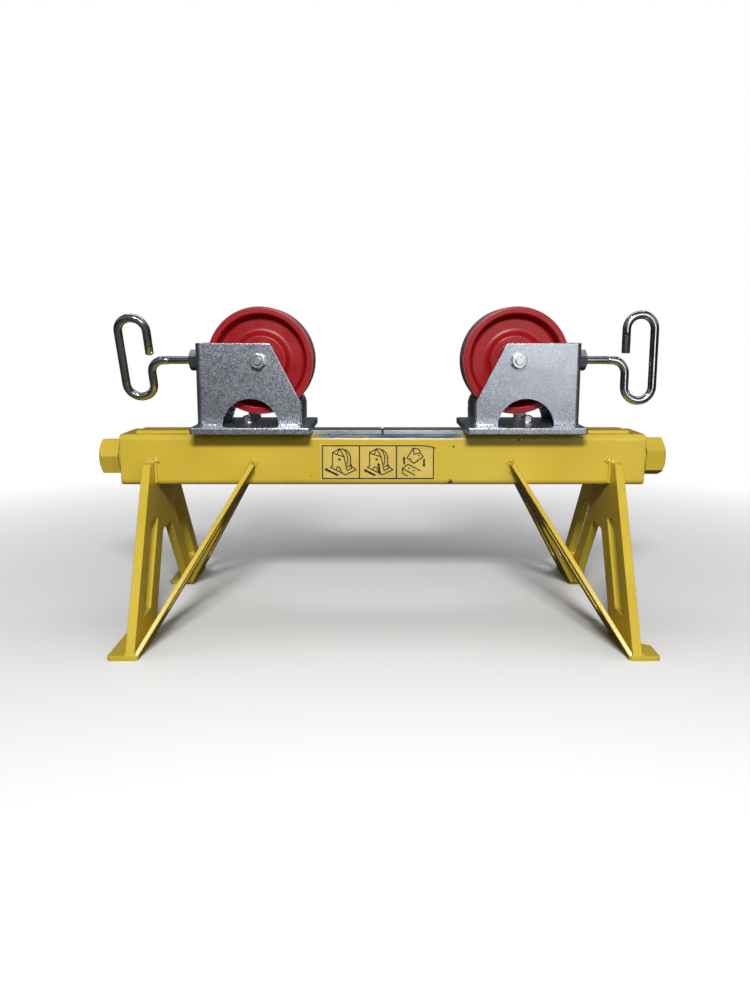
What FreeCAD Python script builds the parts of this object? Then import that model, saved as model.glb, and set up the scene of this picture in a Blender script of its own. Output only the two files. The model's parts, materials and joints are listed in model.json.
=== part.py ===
import FreeCAD, Part
import math
import os

# Roller trestle: a welded steel beam on two slotted A-frames, which carries two roller
# carriages. Each carriage has a wheel that turns on an axle bolt, and a brake screw with a
# looped handle. Millimetres. +X runs along the beam to the right, +Y to the rear, +Z up.
# The origin is on the floor under the middle of the beam.

Vector = FreeCAD.Vector
X_AXIS = Vector(1, 0, 0)
Y_AXIS = Vector(0, 1, 0)
Z_AXIS = Vector(0, 0, 1)
ORIGIN = Vector(0, 0, 0)
SIDES = (("left", -1), ("right", 1))

# ---------------------------------------------------------------- driving dimensions
# Beam, a rectangular tube with a plate welded over each end
BEAM_LENGTH = 612.0
BEAM_WIDTH = 80.0
BEAM_HEIGHT = 60.0
BEAM_WALL = 4.0
BEAM_CORNER = 7.0
BEAM_TOP = 221.5
END_PLATE_THICKNESS = 4.0
END_PLATE_EDGE = 1.5

# Rail bars welded along the top of the beam
RAIL_WIDTH = 40.0
RAIL_THICKNESS = 3.0
RAIL_INSET = 13.0
RAIL_GAP = 2.5
RAIL_EDGE = 0.6

# Keyholes through rail and beam, which the headed studs of a carriage drop into
KEYHOLE_TRAVEL = 13.0
KEYHOLE_SLOT_PLAY = 0.5
KEYHOLE_ENTRY_PLAY = 1.0

# Big hexagon bolts in the beam ends
END_BOLT_FLATS = 41.0
END_BOLT_HEAD = 24.0
END_BOLT_COLLAR = 1.0
END_BOLT_COLLAR_RADIUS = 18.5
END_WASHER_RADIUS = 22.5
END_WASHER_THICKNESS = 6.0
END_WASHER_EDGE = 0.8
END_BOLT_RADIUS = 13.5
END_BOLT_PLAY = 0.25
END_NUT_LENGTH = 22.0
END_BOLT_SHANK = 32.0
END_BOLT_CHAMFER = 3.5
END_BOLT_TURN = {"left": 5.0, "right": -20.0}

# A-frames: slotted plates that stand across the beam and lean out a little at the top
FRAME_THICKNESS = 10.0
FRAME_INSET = 35.5
FRAME_LEAN = 2.4
FRAME_SHOULDER_RISE = 27.0
FRAME_SHOULDER_REACH = 19.0
FRAME_TOE = 194.0
LEG_WIDTH = 98.0
FRAME_OPENING_TOP = 105.0
OPENING_CORNER = 11.0
LEG_SLOT_WIDTH = 34.0
LEG_SLOT_CORNER = 3.0
LEG_SLOT_EDGE = 45.0
LEG_SLOT_LOW = 32.5
LEG_SLOT_HIGH = 124.5
SHOULDER_CORNER = 1.5
PLATE_EDGE = 1.0

# Braces: thinner slotted plates of the same outline, which slope from the feet to the beam
BRACE_THICKNESS = 5.0
BRACE_FOOT_INSET = 10.5
BRACE_TOP_INSET = 119.0

# Feet
FOOT_THICKNESS = 5.0
FOOT_INSET = 13.0
FOOT_WIDTH = 33.0
FOOT_TOE = 196.0
FOOT_LENGTH = 92.0
FOOT_CORNER = 5.0
FOOT_EDGE = 1.0
HEEL_WIDTH = 17.0
HEEL_START = 36.0
HEEL_END = 48.0

# Pictogram label on the front of the beam
LABEL_WIDTH = 136.0
LABEL_HEIGHT = 42.0
LABEL_THICKNESS = 0.3
LABEL_CORNER = 2.5
LABEL_X = -5.5
LABEL_Z = 189.0

# Carriage base plate
CARRIAGE_INSET = 149.0
BASE_INNER_MARGIN = 12.5
BASE_OUTER_MARGIN = 4.0
BASE_WIDTH = 143.0
BASE_THICKNESS = 8.0
BASE_CORNER = 3.0
BASE_EDGE = 1.4

# Wheel housing: sheet folded round the outer end, and a cross plate welded in at the inner end
HOUSING_SHEET = 3.0
HOUSING_WIDTH = 84.0
HOUSING_BEND = 6.0
HOUSING_BRAKE_ROOM = 10.5
HOUSING_INNER_CUTBACK = 14.0
HOUSING_RISE = 20.5
HOUSING_TOP_INNER = 14.0
HOUSING_EDGE = 1.2
SLOPE_FOOT_HEIGHT = 27.0
SLOPE_FOOT_CORNER = 3.0
SLOPE_TOP_CORNER = 5.0
CUTOUT_RADIUS = 33.0
CUTOUT_SHIFT = 10.5
CUTOUT_SINK = 2.0
CROSS_PLATE_HEIGHT = 28.0
REAR_LUG = (15.0, 9.0, 12.0)
REAR_LUG_Y = 50.0
REAR_LUG_EDGE = 0.6

# Wheel and its roller bearing
WHEEL_RADIUS = 62.5
WHEEL_WIDTH = 50.0
WHEEL_GAP = 12.0
RIM_WIDTH = 8.0
RIM_TAPER = 3.5
TREAD_EDGE = 2.5
RIM_EDGE = 1.5
WEB_FILLET = 4.0
RING_FOOT_FILLET = 8.0
RING_TOP_FILLET = 2.5
RING_FLARE = 5.0
HUB_FILLET = 1.5
HUB_EDGE = 1.0
WEB_THICKNESS = 18.0
HUB_RING_RADIUS = 29.0
HUB_RING_WIDTH = 30.0
HUB_RADIUS = 20.0
HUB_LENGTH = 58.0
AXLE_RADIUS = 5.0
AXLE_PLAY = 0.1
SLEEVE_RADIUS = 8.0
ROLLER_RADIUS = 2.45
ROLLER_PLAY = 0.05
ROLLER_COUNT = 10
ROLLER_LENGTH = 46.0
CAGE_WALL = 2.4
CAGE_END = 3.0
CAGE_POCKET_PLAY = 0.15
SPACER_RADIUS = 12.0
HUB_END_PLAY = 0.2

# M10 axle bolt and nut
AXLE_FLATS = 16.0
AXLE_HEAD = 6.4
AXLE_NUT = 8.4
AXLE_END = 3.0
AXLE_THREAD_ROOT = 4.2
AXLE_CHAMFER = 1.0
AXLE_HEAD_TURN = 12.0
AXLE_NUT_TURN = 20.0

# Headed studs under the base plate, with M8 nuts on top of it
STUD_OUTER = 18.0
STUD_INNER = 34.0
STUD_RADIUS = 4.0
STUD_HOLE_PLAY = 0.2
STUD_SHOULDER_RADIUS = 5.0
STUD_HEAD_RADIUS = 9.0
STUD_HEAD_THICKNESS = 4.0
STUD_HEAD_GAP = 0.5
STUD_NUT_FLATS = 13.0
STUD_NUT_HEIGHT = 6.5
STUD_NUT_CHAMFER = 0.6
STUD_NUT_TURN = 10.0
STUD_WASHER_RADIUS = 8.0
STUD_WASHER_THICKNESS = 1.2
STUD_END = 1.0

# Brake: threaded boss, screw with a looped handle, and a pad that presses on the wheel
BOSS_FLATS = 22.0
BOSS_LENGTH = 14.0
BOSS_CHAMFER = 2.0
BOSS_TURN = 8.0
SCREW_RADIUS = 5.0
SCREW_PLAY = 0.05
SCREW_HOLE_PLAY = 0.5
PAD_RADIUS = 7.5
PAD_THICKNESS = 3.0
PAD_GAP = 2.3
PAD_TIP_RADIUS = 2.5
PAD_TIP_PLAY = 0.05
PAD_TIP_INSET = 0.5
HANDLE_REACH = 61.5
HANDLE_BEND = 16.0
HANDLE_LOOP_WIDTH = 33.5
HANDLE_TOP = 53.5
HANDLE_BOTTOM = 48.5
HANDLE_TIP_HEIGHT = 8.0
HANDLE_TURN = {"left": 23.0, "right": 0.0}

# ---------------------------------------------------------------- sizes that follow
BEAM_BOTTOM = BEAM_TOP - BEAM_HEIGHT
BEAM_MIDDLE = BEAM_TOP - BEAM_HEIGHT / 2
BEAM_END = BEAM_LENGTH / 2
RAIL_TOP = BEAM_TOP + RAIL_THICKNESS
BASE_TOP = RAIL_TOP + BASE_THICKNESS
FRAME_MID_X = BEAM_END - FRAME_INSET
BRACE_FOOT_X = FRAME_MID_X - BRACE_FOOT_INSET
BRACE_TOP_X = FRAME_MID_X - BRACE_TOP_INSET
FOOT_INNER_X = FRAME_MID_X - FOOT_INSET
CARRIAGE_LOCKED_X = BEAM_END - CARRIAGE_INSET
AXLE_HEIGHT = WHEEL_RADIUS + WHEEL_GAP
AXLE_Z = BASE_TOP + AXLE_HEIGHT
HOUSING_OUTER = WHEEL_RADIUS + HOUSING_BRAKE_ROOM
HOUSING_INNER = WHEEL_RADIUS - HOUSING_INNER_CUTBACK
HOUSING_HEIGHT = AXLE_HEIGHT + HOUSING_RISE
BASE_INNER = HOUSING_INNER + BASE_INNER_MARGIN
BASE_OUTER = HOUSING_OUTER + BASE_OUTER_MARGIN
CARRIAGE_X = {"left": CARRIAGE_LOCKED_X - KEYHOLE_TRAVEL, "right": CARRIAGE_LOCKED_X}
FRAME_SHOULDER = BEAM_BOTTOM + FRAME_SHOULDER_RISE
SHOULDER_Y = BEAM_WIDTH / 2 + FRAME_SHOULDER_REACH
LEG_SLOPE = (FRAME_TOE - SHOULDER_Y) / (FRAME_SHOULDER - FOOT_THICKNESS)
BRACE_RUN = BRACE_FOOT_X - BRACE_TOP_X
BRACE_TILT = math.degrees(math.atan2(BRACE_RUN, FRAME_SHOULDER - FOOT_THICKNESS))
BRACE_STRETCH = 1 / math.cos(math.radians(BRACE_TILT))
ROLLER_PITCH_RADIUS = SLEEVE_RADIUS + ROLLER_PLAY + ROLLER_RADIUS
HUB_BORE = ROLLER_PITCH_RADIUS + ROLLER_RADIUS + ROLLER_PLAY
CHEEK_GAP = HOUSING_WIDTH - 2 * HOUSING_SHEET
CORNER_TO_FRONT = 30.0
STUD_SHOULDER_LENGTH = RAIL_THICKNESS + BEAM_WALL + STUD_HEAD_GAP
CLEAR = 1.0
FAR = 1000.0


# ---------------------------------------------------------------- helpers
def rounded_wire(points, radii, place):
    """Closed wire through flat corner points, with an arc of the given radius at each."""
    arcs = []
    for index, point in enumerate(points):
        corner = Vector(point[0], point[1], 0)
        before = Vector(*points[index - 1], 0) - corner
        after = Vector(*points[(index + 1) % len(points)], 0) - corner
        before.normalize()
        after.normalize()
        half = before.getAngle(after) / 2
        reach = radii[index] / math.tan(half)
        inward = before + after
        inward.normalize()
        crown = corner + inward * (radii[index] / math.sin(half) - radii[index])
        arcs.append((corner + before * reach, crown, corner + after * reach))
    edges = []
    for index, (start, crown, end) in enumerate(arcs):
        last = arcs[index - 1][2]
        if last.distanceToPoint(start) > 1e-6:
            edges.append(Part.makeLine(place(last), place(start)))
        if radii[index] > 0:
            edges.append(Part.Arc(place(start), place(crown), place(end)).toShape())
    return Part.Wire(edges)


def prism_x(points, radii, x_low, x_high):
    """Outline of (y, z) points, extruded along X."""
    wire = rounded_wire(points, radii, lambda p: Vector(x_low, p.x, p.y))
    return Part.Face(wire).extrude(X_AXIS * (x_high - x_low))


def prism_y(points, radii, y_low, y_high):
    """Outline of (x, z) points, extruded along Y."""
    wire = rounded_wire(points, radii, lambda p: Vector(p.x, y_low, p.y))
    return Part.Face(wire).extrude(Y_AXIS * (y_high - y_low))


def prism_z(points, radii, z_low, z_high):
    """Outline of (x, y) points, extruded along Z."""
    wire = rounded_wire(points, radii, lambda p: Vector(p.x, p.y, z_low))
    return Part.Face(wire).extrude(Z_AXIS * (z_high - z_low))


def block(x_range, y_range, z_range):
    """Box between two values along each axis."""
    sizes = [high - low for low, high in (x_range, y_range, z_range)]
    return Part.makeBox(*sizes, Vector(x_range[0], y_range[0], z_range[0]))


def rod(radius, start, end):
    """Cylinder between two points."""
    start = Vector(*start)
    along = Vector(*end) - start
    return Part.makeCylinder(radius, along.Length, start, along)


def tube(outer, inner, start, end):
    """Cylinder with a bore."""
    return rod(outer, start, end).cut(rod(inner, start, end))


def hexagon(flats, length, chamfer, turn=0.0):
    """Hexagonal prism from the origin along +Z, with its far corners chamfered."""
    corner = flats / math.sqrt(3)
    points = []
    for step in range(6):
        angle = math.radians(60 * step + turn)
        points.append((corner * math.cos(angle), corner * math.sin(angle)))
    prism = prism_z(points, [0] * 6, 0, length)
    profile = [(0, 0), (corner + CLEAR, 0), (corner + CLEAR, length - chamfer),
               (corner - chamfer * math.sqrt(3), length), (0, length)]
    wire = rounded_wire(profile, [0] * 5, lambda p: Vector(p.x, 0, p.y))
    return prism.common(Part.Face(wire).revolve(ORIGIN, Z_AXIS, 360))


def point_along(shape, direction, position):
    """Turn a shape that was made along +Z to another direction, and move it."""
    placed = shape.copy()
    placed.Placement = FreeCAD.Placement(Vector(*position), FreeCAD.Rotation(Z_AXIS, direction))
    return placed


def round_edges(shape, radius, chosen):
    """Round the edges for which chosen(bounding box) is true."""
    return shape.makeFillet(radius, [edge for edge in shape.Edges if chosen(edge.BoundBox)])


def save(node, shape):
    """Write one node, as one solid or as a group of separate solids."""
    solids = shape.Solids
    if not solids or not all(solid.isValid() for solid in solids):
        raise ValueError("bad solid in " + node)
    result = solids[0] if len(solids) == 1 else Part.makeCompound(solids)
    result.exportStep(os.path.join("parts", node + ".step"))
    print("%-26s %d solid(s) %12.1f mm3" % (node, len(solids), result.Volume))


# ---------------------------------------------------------------- stand
def beam_bar(length):
    """Solid bar of the beam's outer section."""
    half = BEAM_WIDTH / 2
    outline = [(-half, BEAM_BOTTOM), (half, BEAM_BOTTOM), (half, BEAM_TOP), (-half, BEAM_TOP)]
    return prism_x(outline, [BEAM_CORNER] * 4, -length / 2, length / 2)


def keyhole_cutters():
    """Entry holes with slots that run outwards, for both studs of both carriages."""
    entry_radius = STUD_HEAD_RADIUS + KEYHOLE_ENTRY_PLAY
    slot_radius = STUD_SHOULDER_RADIUS + KEYHOLE_SLOT_PLAY
    low = BEAM_TOP - BEAM_WALL - CLEAR
    high = RAIL_TOP + CLEAR
    cutters = []
    for _, side in SIDES:
        for offset in (STUD_OUTER, -STUD_INNER):
            entry_x = CARRIAGE_LOCKED_X - KEYHOLE_TRAVEL + offset
            locked_x = CARRIAGE_LOCKED_X + offset
            entry = rod(entry_radius, (side * entry_x, 0, low), (side * entry_x, 0, high))
            slot_end = rod(slot_radius, (side * locked_x, 0, low), (side * locked_x, 0, high))
            span = sorted((side * entry_x, side * locked_x))
            slot = block(span, (-slot_radius, slot_radius), (low, high))
            cutters.append(entry.fuse([slot, slot_end]))
    return cutters


def make_beam_tube():
    inner_half = BEAM_WIDTH / 2 - BEAM_WALL
    inner_low = BEAM_BOTTOM + BEAM_WALL
    inner_high = BEAM_TOP - BEAM_WALL
    outline = [(-inner_half, inner_low), (inner_half, inner_low),
               (inner_half, inner_high), (-inner_half, inner_high)]
    cavity = prism_x(outline, [BEAM_CORNER - BEAM_WALL] * 4, -BEAM_END - CLEAR, BEAM_END + CLEAR)
    return beam_bar(BEAM_LENGTH).cut(cavity).cut(keyhole_cutters())


def make_rail(side):
    span = sorted((side * RAIL_GAP / 2, side * (BEAM_END - RAIL_INSET)))
    bar = block(span, (-RAIL_WIDTH / 2, RAIL_WIDTH / 2), (BEAM_TOP, RAIL_TOP))
    bar = round_edges(bar, RAIL_EDGE, lambda box: box.ZMin > BEAM_TOP + CLEAR)
    return bar.cut(keyhole_cutters())


def make_end_plate(side):
    inner = side * BEAM_END
    outer = side * (BEAM_END + END_PLATE_THICKNESS)
    span = sorted((inner, outer))
    plate = beam_bar(FAR).common(block(span, (-FAR, FAR), (-FAR, FAR)))
    plate = round_edges(plate, END_PLATE_EDGE, lambda box: abs(box.Center.x - outer) < CLEAR)
    hole_radius = END_BOLT_RADIUS + END_BOLT_PLAY
    return plate.cut(rod(hole_radius, (0, 0, BEAM_MIDDLE), (side * FAR, 0, BEAM_MIDDLE)))


def make_end_washer(side):
    inner = side * (BEAM_END + END_PLATE_THICKNESS)
    outer = inner + side * END_WASHER_THICKNESS
    washer = rod(END_WASHER_RADIUS, (inner, 0, BEAM_MIDDLE), (outer, 0, BEAM_MIDDLE))
    washer = round_edges(washer, END_WASHER_EDGE, lambda box: box.XLength < CLEAR)
    hole_radius = END_BOLT_RADIUS + END_BOLT_PLAY
    return washer.cut(rod(hole_radius, (0, 0, BEAM_MIDDLE), (side * FAR, 0, BEAM_MIDDLE)))


def make_end_bolt(side, turn):
    """Bolt whose hexagon stands on a low round collar; one corner faces the front before the turn."""
    end_plate_face = side * (BEAM_END + END_PLATE_THICKNESS)
    seat = end_plate_face + side * END_WASHER_THICKNESS
    collar_end = seat + side * END_BOLT_COLLAR
    shank_end = end_plate_face - side * END_BOLT_SHANK
    head = hexagon(END_BOLT_FLATS, END_BOLT_HEAD, END_BOLT_CHAMFER, CORNER_TO_FRONT + turn)
    head = point_along(head, Vector(side, 0, 0), (collar_end, 0, BEAM_MIDDLE))
    collar = rod(END_BOLT_COLLAR_RADIUS, (seat, 0, BEAM_MIDDLE), (collar_end, 0, BEAM_MIDDLE))
    shank = rod(END_BOLT_RADIUS, (seat, 0, BEAM_MIDDLE), (shank_end, 0, BEAM_MIDDLE))
    return head.fuse([collar, shank])


def make_end_nut(side):
    seat = side * BEAM_END
    nut = point_along(hexagon(END_BOLT_FLATS, END_NUT_LENGTH, END_BOLT_CHAMFER),
                      Vector(-side, 0, 0), (seat, 0, BEAM_MIDDLE))
    return nut.cut(rod(END_BOLT_RADIUS, (0, 0, BEAM_MIDDLE), (side * FAR, 0, BEAM_MIDDLE)))


def a_plate(thickness, stretch):
    """A-shaped plate with a slot in each leg, upright on x = 0, which starts below the floor.

    Heights over the feet are multiplied by stretch, for a plate that will be sloped.
    """
    def height(z):
        return FOOT_THICKNESS + (z - FOOT_THICKNESS) * stretch

    low = -FOOT_THICKNESS
    toe = FRAME_TOE + LEG_SLOPE * (FOOT_THICKNESS - low)
    top_inner = FRAME_TOE - LEG_WIDTH - LEG_SLOPE * (FRAME_OPENING_TOP - FOOT_THICKNESS)
    outline = [(-toe, height(low)), (-SHOULDER_Y, height(FRAME_SHOULDER)),
               (SHOULDER_Y, height(FRAME_SHOULDER)), (toe, height(low)),
               (toe - LEG_WIDTH, height(low)), (top_inner, height(FRAME_OPENING_TOP)),
               (-top_inner, height(FRAME_OPENING_TOP)), (LEG_WIDTH - toe, height(low))]
    radii = [0, SHOULDER_CORNER, SHOULDER_CORNER, 0, 0, OPENING_CORNER, OPENING_CORNER, 0]
    plate = prism_x(outline, radii, -thickness / 2, thickness / 2)
    for hand in (-1, 1):
        plate = plate.cut(leg_slot(hand, height, thickness))
    return round_edges(plate, PLATE_EDGE, lambda box: box.XLength < thickness / 2)


def leg_slot(hand, height, thickness):
    """Slot along one leg, with level ends and small corners, cut right through."""
    points = []
    for z, halves in ((LEG_SLOT_LOW, (-1, 1)), (LEG_SLOT_HIGH, (1, -1))):
        middle = FRAME_TOE - LEG_SLOPE * (z - FOOT_THICKNESS) - LEG_SLOT_EDGE
        points += [(hand * (middle + half * LEG_SLOT_WIDTH / 2), height(z)) for half in halves]
    return prism_x(points, [LEG_SLOT_CORNER] * 4, -thickness, thickness)


def make_a_frame(side):
    plate = a_plate(FRAME_THICKNESS, 1.0)
    middle = (FOOT_THICKNESS + FRAME_SHOULDER) / 2
    plate.rotate(Vector(0, 0, middle), Y_AXIS, side * FRAME_LEAN)
    plate.translate(X_AXIS * side * FRAME_MID_X)
    above_feet = block((-FAR, FAR), (-FAR, FAR), (FOOT_THICKNESS, FAR))
    return plate.common(above_feet).cut(beam_bar(BEAM_LENGTH))


def make_brace(side, a_frame):
    plate = a_plate(BRACE_THICKNESS, BRACE_STRETCH)
    plate.rotate(Vector(0, 0, FOOT_THICKNESS), Y_AXIS, -side * BRACE_TILT)
    plate.translate(X_AXIS * side * BRACE_FOOT_X)
    inner_edge = FRAME_MID_X - FRAME_THICKNESS
    span = sorted((0, side * inner_edge))
    room = block(span, (-FAR, FAR), (FOOT_THICKNESS, FAR))
    brace = plate.common(room).cut(beam_bar(BEAM_LENGTH)).cut(a_frame)
    return max(brace.Solids, key=lambda solid: solid.Volume)


def make_foot(side, end):
    """Foot plate; on the right the heel is narrower than the toe."""
    inner = FOOT_INNER_X
    outer = FOOT_INNER_X + FOOT_WIDTH
    toe = FOOT_TOE
    heel = FOOT_TOE - FOOT_LENGTH
    if side < 0:
        corners = [(inner, heel), (inner, toe), (outer, toe), (outer, heel)]
    else:
        waist = inner + HEEL_WIDTH
        corners = [(inner, heel), (inner, toe), (outer, toe), (outer, toe - HEEL_START),
                   (waist, toe - HEEL_END), (waist, heel)]
    points = [(side * x, end * y) for x, y in corners]
    foot = prism_z(points, [FOOT_CORNER] * len(points), 0, FOOT_THICKNESS)
    return round_edges(foot, FOOT_EDGE, lambda box: box.ZMin > FOOT_THICKNESS - CLEAR)


def make_label():
    face = -BEAM_WIDTH / 2
    half_width = LABEL_WIDTH / 2
    half_height = LABEL_HEIGHT / 2
    points = [(LABEL_X - half_width, LABEL_Z - half_height), (LABEL_X + half_width, LABEL_Z - half_height),
              (LABEL_X + half_width, LABEL_Z + half_height), (LABEL_X - half_width, LABEL_Z + half_height)]
    return prism_y(points, [LABEL_CORNER] * 4, face - LABEL_THICKNESS, face)


def make_stand():
    save("beam_tube", make_beam_tube())
    save("instruction_label", make_label())
    for name, side in SIDES:
        save(name + "_rail", make_rail(side))
        save(name + "_end_plate", make_end_plate(side))
        save(name + "_end_washer", make_end_washer(side))
        save(name + "_end_bolt", make_end_bolt(side, END_BOLT_TURN[name]))
        save(name + "_end_nut", make_end_nut(side))
        a_frame = make_a_frame(side)
        save(name + "_a_frame", a_frame)
        save(name + "_brace", make_brace(side, a_frame))
        save("front_" + name + "_foot", make_foot(side, -1))
        save("rear_" + name + "_foot", make_foot(side, 1))


# ---------------------------------------------------------------- carriage
# Each piece is made for the right-hand side with the axle over x = 0, then placed.
def make_base_plate():
    half = BASE_WIDTH / 2
    points = [(-BASE_INNER, -half), (BASE_OUTER, -half), (BASE_OUTER, half), (-BASE_INNER, half)]
    plate = prism_z(points, [BASE_CORNER] * 4, RAIL_TOP, BASE_TOP)
    plate = round_edges(plate, BASE_EDGE, lambda box: box.ZLength < CLEAR)
    for x in stud_places():
        hole = rod(STUD_RADIUS + STUD_HOLE_PLAY, (x, 0, RAIL_TOP - CLEAR), (x, 0, BASE_TOP + CLEAR))
        plate = plate.cut(hole)
    return plate


def stud_places():
    return (STUD_OUTER, -STUD_INNER)


def make_wheel_housing():
    """Sheet folded to a U that is open to the inner end, with sloped cheeks."""
    outer_y = HOUSING_WIDTH / 2
    inner_y = outer_y - HOUSING_SHEET
    inner_x = HOUSING_OUTER - HOUSING_SHEET
    top = BASE_TOP + HOUSING_HEIGHT
    plan = [(-HOUSING_INNER, -outer_y), (HOUSING_OUTER, -outer_y), (HOUSING_OUTER, outer_y),
            (-HOUSING_INNER, outer_y), (-HOUSING_INNER, inner_y), (inner_x, inner_y),
            (inner_x, -inner_y), (-HOUSING_INNER, -inner_y)]
    inner_bend = HOUSING_BEND - HOUSING_SHEET
    bends = [0, HOUSING_BEND, HOUSING_BEND, 0, 0, inner_bend, inner_bend, 0]
    folded = prism_z(plan, bends, BASE_TOP, top)
    side_view = [(-HOUSING_INNER, BASE_TOP), (-HOUSING_INNER, BASE_TOP + SLOPE_FOOT_HEIGHT),
                 (-HOUSING_TOP_INNER, top), (HOUSING_OUTER, top), (HOUSING_OUTER, BASE_TOP)]
    corners = [0, SLOPE_FOOT_CORNER, SLOPE_TOP_CORNER, 0, 0]
    housing = folded.common(prism_y(side_view, corners, -outer_y, outer_y))
    housing = round_edges(housing, HOUSING_EDGE, on_upper_rim)
    cutout_z = BASE_TOP - CUTOUT_SINK
    housing = housing.cut(rod(CUTOUT_RADIUS, (CUTOUT_SHIFT, -FAR, cutout_z), (CUTOUT_SHIFT, FAR, cutout_z)))
    housing = housing.cut(rod(AXLE_RADIUS + AXLE_PLAY, (0, -FAR, AXLE_Z), (0, FAR, AXLE_Z)))
    return housing.cut(rod(SCREW_RADIUS + SCREW_HOLE_PLAY, (0, 0, AXLE_Z), (FAR, 0, AXLE_Z)))


def on_upper_rim(box):
    """True for the edges along the top and the slopes of the housing."""
    is_upright = box.XLength < CLEAR and box.YLength < CLEAR
    is_across = box.XLength < CLEAR / 2 and box.ZLength < CLEAR / 2 and box.XMax < 0
    return box.ZMin > BASE_TOP + CLEAR and not is_upright and not is_across


def make_cross_plate():
    half = CHEEK_GAP / 2
    return block((-HOUSING_INNER, -HOUSING_INNER + HOUSING_SHEET), (-half, half),
                 (BASE_TOP, BASE_TOP + CROSS_PLATE_HEIGHT))


def make_rear_lug():
    length, depth, height = REAR_LUG
    lug = block((STUD_OUTER - length / 2, STUD_OUTER + length / 2),
                (REAR_LUG_Y, REAR_LUG_Y + depth), (BASE_TOP, BASE_TOP + height))
    return round_edges(lug, REAR_LUG_EDGE, lambda box: box.ZMax > BASE_TOP + CLEAR)


def make_studs():
    studs = []
    for x in stud_places():
        shoulder_low = RAIL_TOP - STUD_SHOULDER_LENGTH
        nut_top = BASE_TOP + STUD_WASHER_THICKNESS + STUD_NUT_HEIGHT
        head = rod(STUD_HEAD_RADIUS, (x, 0, shoulder_low - STUD_HEAD_THICKNESS), (x, 0, shoulder_low))
        shoulder = rod(STUD_SHOULDER_RADIUS, (x, 0, shoulder_low), (x, 0, RAIL_TOP))
        thread = rod(STUD_RADIUS, (x, 0, RAIL_TOP), (x, 0, nut_top + STUD_END))
        studs.append(head.fuse([shoulder, thread]))
    return Part.makeCompound(studs)


def make_stud_washers():
    low = BASE_TOP
    high = BASE_TOP + STUD_WASHER_THICKNESS
    rings = [tube(STUD_WASHER_RADIUS, STUD_RADIUS + STUD_HOLE_PLAY, (x, 0, low), (x, 0, high))
             for x in stud_places()]
    return Part.makeCompound(rings)


def make_stud_nuts():
    low = BASE_TOP + STUD_WASHER_THICKNESS
    nuts = []
    for x in stud_places():
        nut = point_along(hexagon(STUD_NUT_FLATS, STUD_NUT_HEIGHT, STUD_NUT_CHAMFER, STUD_NUT_TURN),
                          Z_AXIS, (x, 0, low))
        nuts.append(nut.cut(rod(STUD_RADIUS, (x, 0, low - CLEAR), (x, 0, low + FAR))))
    return Part.makeCompound(nuts)


def make_wheel():
    """Wheel with a flat tread, recessed sides, a ringed web and a long hub."""
    rim_inner = WHEEL_RADIUS - RIM_WIDTH
    web_outer = rim_inner - RIM_TAPER
    half_width = WHEEL_WIDTH / 2
    half_web = WEB_THICKNESS / 2
    half_ring = HUB_RING_WIDTH / 2
    half_hub = HUB_LENGTH / 2
    one_side = [(HUB_BORE, half_hub), (HUB_RADIUS, half_hub), (HUB_RADIUS, half_ring),
                (HUB_RING_RADIUS, half_ring), (HUB_RING_RADIUS + RING_FLARE, half_web),
                (web_outer, half_web), (rim_inner, half_width), (WHEEL_RADIUS, half_width)]
    side_radii = [0, HUB_EDGE, HUB_FILLET, RING_TOP_FILLET, RING_FOOT_FILLET,
                  WEB_FILLET, RIM_EDGE, TREAD_EDGE]
    profile = one_side + [(r, -y) for r, y in reversed(one_side)]
    radii = side_radii + list(reversed(side_radii))
    wire = rounded_wire(profile, radii, lambda p: p)
    wheel = Part.Face(wire).revolve(ORIGIN, Y_AXIS, 360)
    wheel.translate(Vector(0, 0, AXLE_Z))
    return wheel


def roller_places():
    places = []
    for step in range(ROLLER_COUNT):
        angle = 2 * math.pi * step / ROLLER_COUNT
        x = ROLLER_PITCH_RADIUS * math.cos(angle)
        z = AXLE_Z + ROLLER_PITCH_RADIUS * math.sin(angle)
        places.append((x, z))
    return places


def make_rollers():
    half = ROLLER_LENGTH / 2
    rollers = [rod(ROLLER_RADIUS, (x, -half, z), (x, half, z)) for x, z in roller_places()]
    return Part.makeCompound(rollers)


def make_roller_cage():
    half_pocket = ROLLER_LENGTH / 2 + CAGE_POCKET_PLAY
    half_cage = half_pocket + CAGE_END
    outer = ROLLER_PITCH_RADIUS + CAGE_WALL / 2
    inner = ROLLER_PITCH_RADIUS - CAGE_WALL / 2
    cage = tube(outer, inner, (0, -half_cage, AXLE_Z), (0, half_cage, AXLE_Z))
    pocket_radius = ROLLER_RADIUS + CAGE_POCKET_PLAY
    pockets = [rod(pocket_radius, (x, -half_pocket, z), (x, half_pocket, z)) for x, z in roller_places()]
    return cage.cut(pockets)


def make_axle_sleeve():
    half = CHEEK_GAP / 2
    return tube(SLEEVE_RADIUS, AXLE_RADIUS + AXLE_PLAY, (0, -half, AXLE_Z), (0, half, AXLE_Z))


def make_hub_spacers():
    near = HUB_LENGTH / 2 + HUB_END_PLAY
    far = CHEEK_GAP / 2
    rings = [tube(SPACER_RADIUS, SLEEVE_RADIUS, (0, hand * near, AXLE_Z), (0, hand * far, AXLE_Z))
             for hand in (-1, 1)]
    return Part.makeCompound(rings)


def make_axle_bolt():
    seat = HOUSING_WIDTH / 2
    nut_face = -seat - AXLE_NUT
    head = hexagon(AXLE_FLATS, AXLE_HEAD, AXLE_CHAMFER, AXLE_HEAD_TURN)
    head = point_along(head, Y_AXIS, (0, seat, AXLE_Z))
    shank = rod(AXLE_RADIUS, (0, seat, AXLE_Z), (0, nut_face, AXLE_Z))
    tip = rod(AXLE_THREAD_ROOT, (0, nut_face, AXLE_Z), (0, nut_face - AXLE_END, AXLE_Z))
    return head.fuse([shank, tip])


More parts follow.
